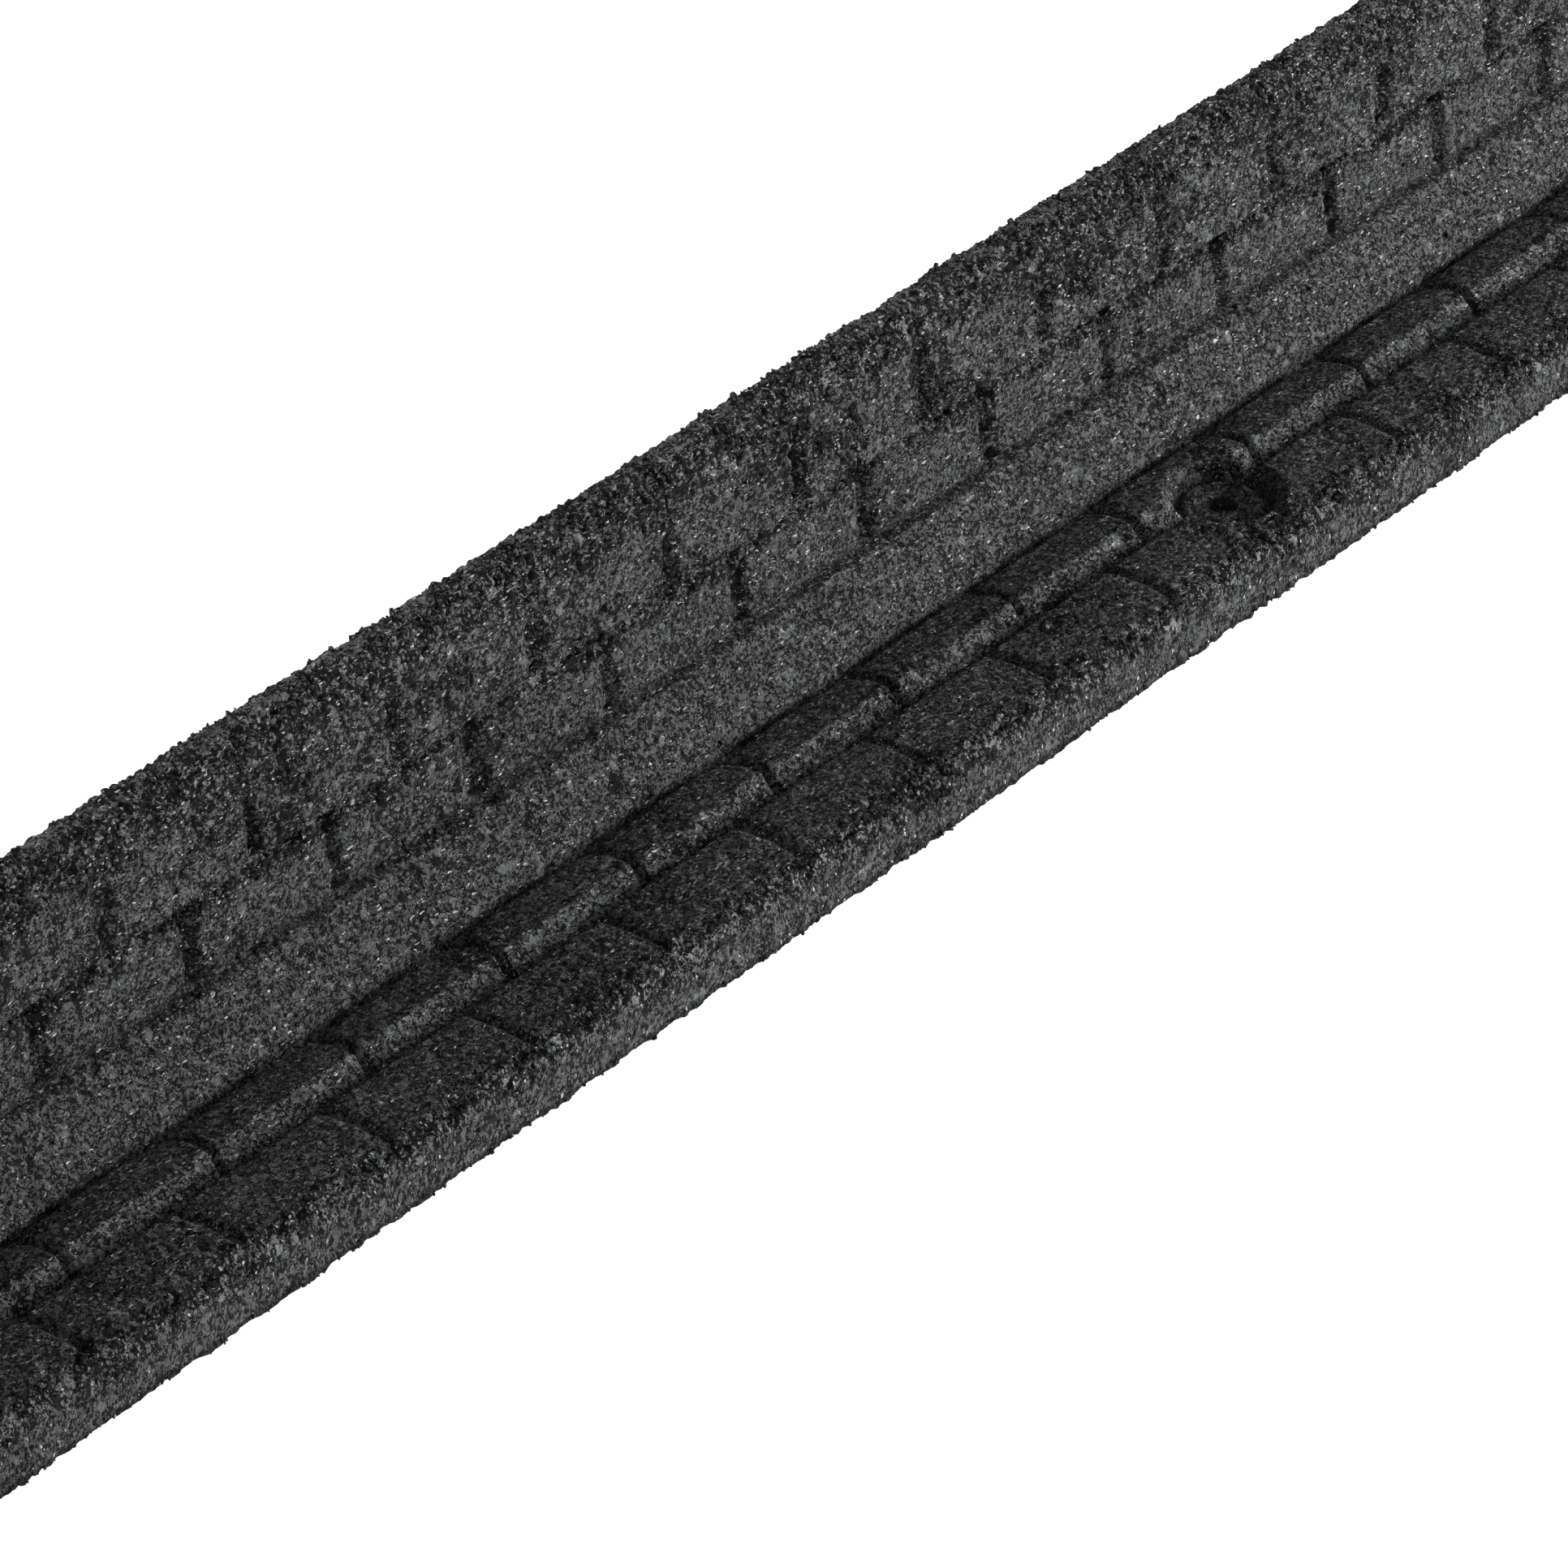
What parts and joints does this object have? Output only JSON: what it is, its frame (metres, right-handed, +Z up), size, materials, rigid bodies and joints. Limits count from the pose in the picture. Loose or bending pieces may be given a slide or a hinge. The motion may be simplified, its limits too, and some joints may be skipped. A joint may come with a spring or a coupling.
{
  "type": "landscape edging strip with ground spikes",
  "caption": "Straight L-shaped rubber edging strip with a brick-patterned wall, a paver-patterned flange and steel ground spikes through recessed holes.",
  "frame": {"origin": "on the ground plane under the foot of the wall, halfway along the strip", "axes": "+X along the strip, -Y out of the flange's front face, +Y out of the wall's back face, +Z up out of the ground"},
  "size_m": [1.2192, 0.0658, 0.2677],
  "materials": {
    "crumb_rubber": "matt bonded rubber crumb, dark charcoal with fine pits and a few pale specks",
    "galvanised_steel": "dull galvanised steel"
  },
  "bodies": {
    "strip": {"edging_strip": "crumb_rubber"},
    "spike_left": {"ground_spike_left": "galvanised_steel"},
    "spike_right": {"ground_spike_right": "galvanised_steel"}
  },
  "joints": [
    {"name": "spike_left_pull", "type": "slide", "parent": "strip", "child": "spike_left", "axis": [0, 0, 1], "range_m": [0, 0.22]},
    {"name": "spike_right_pull", "type": "slide", "parent": "strip", "child": "spike_right", "axis": [0, 0, 1], "range_m": [0, 0.22]}
  ]
}
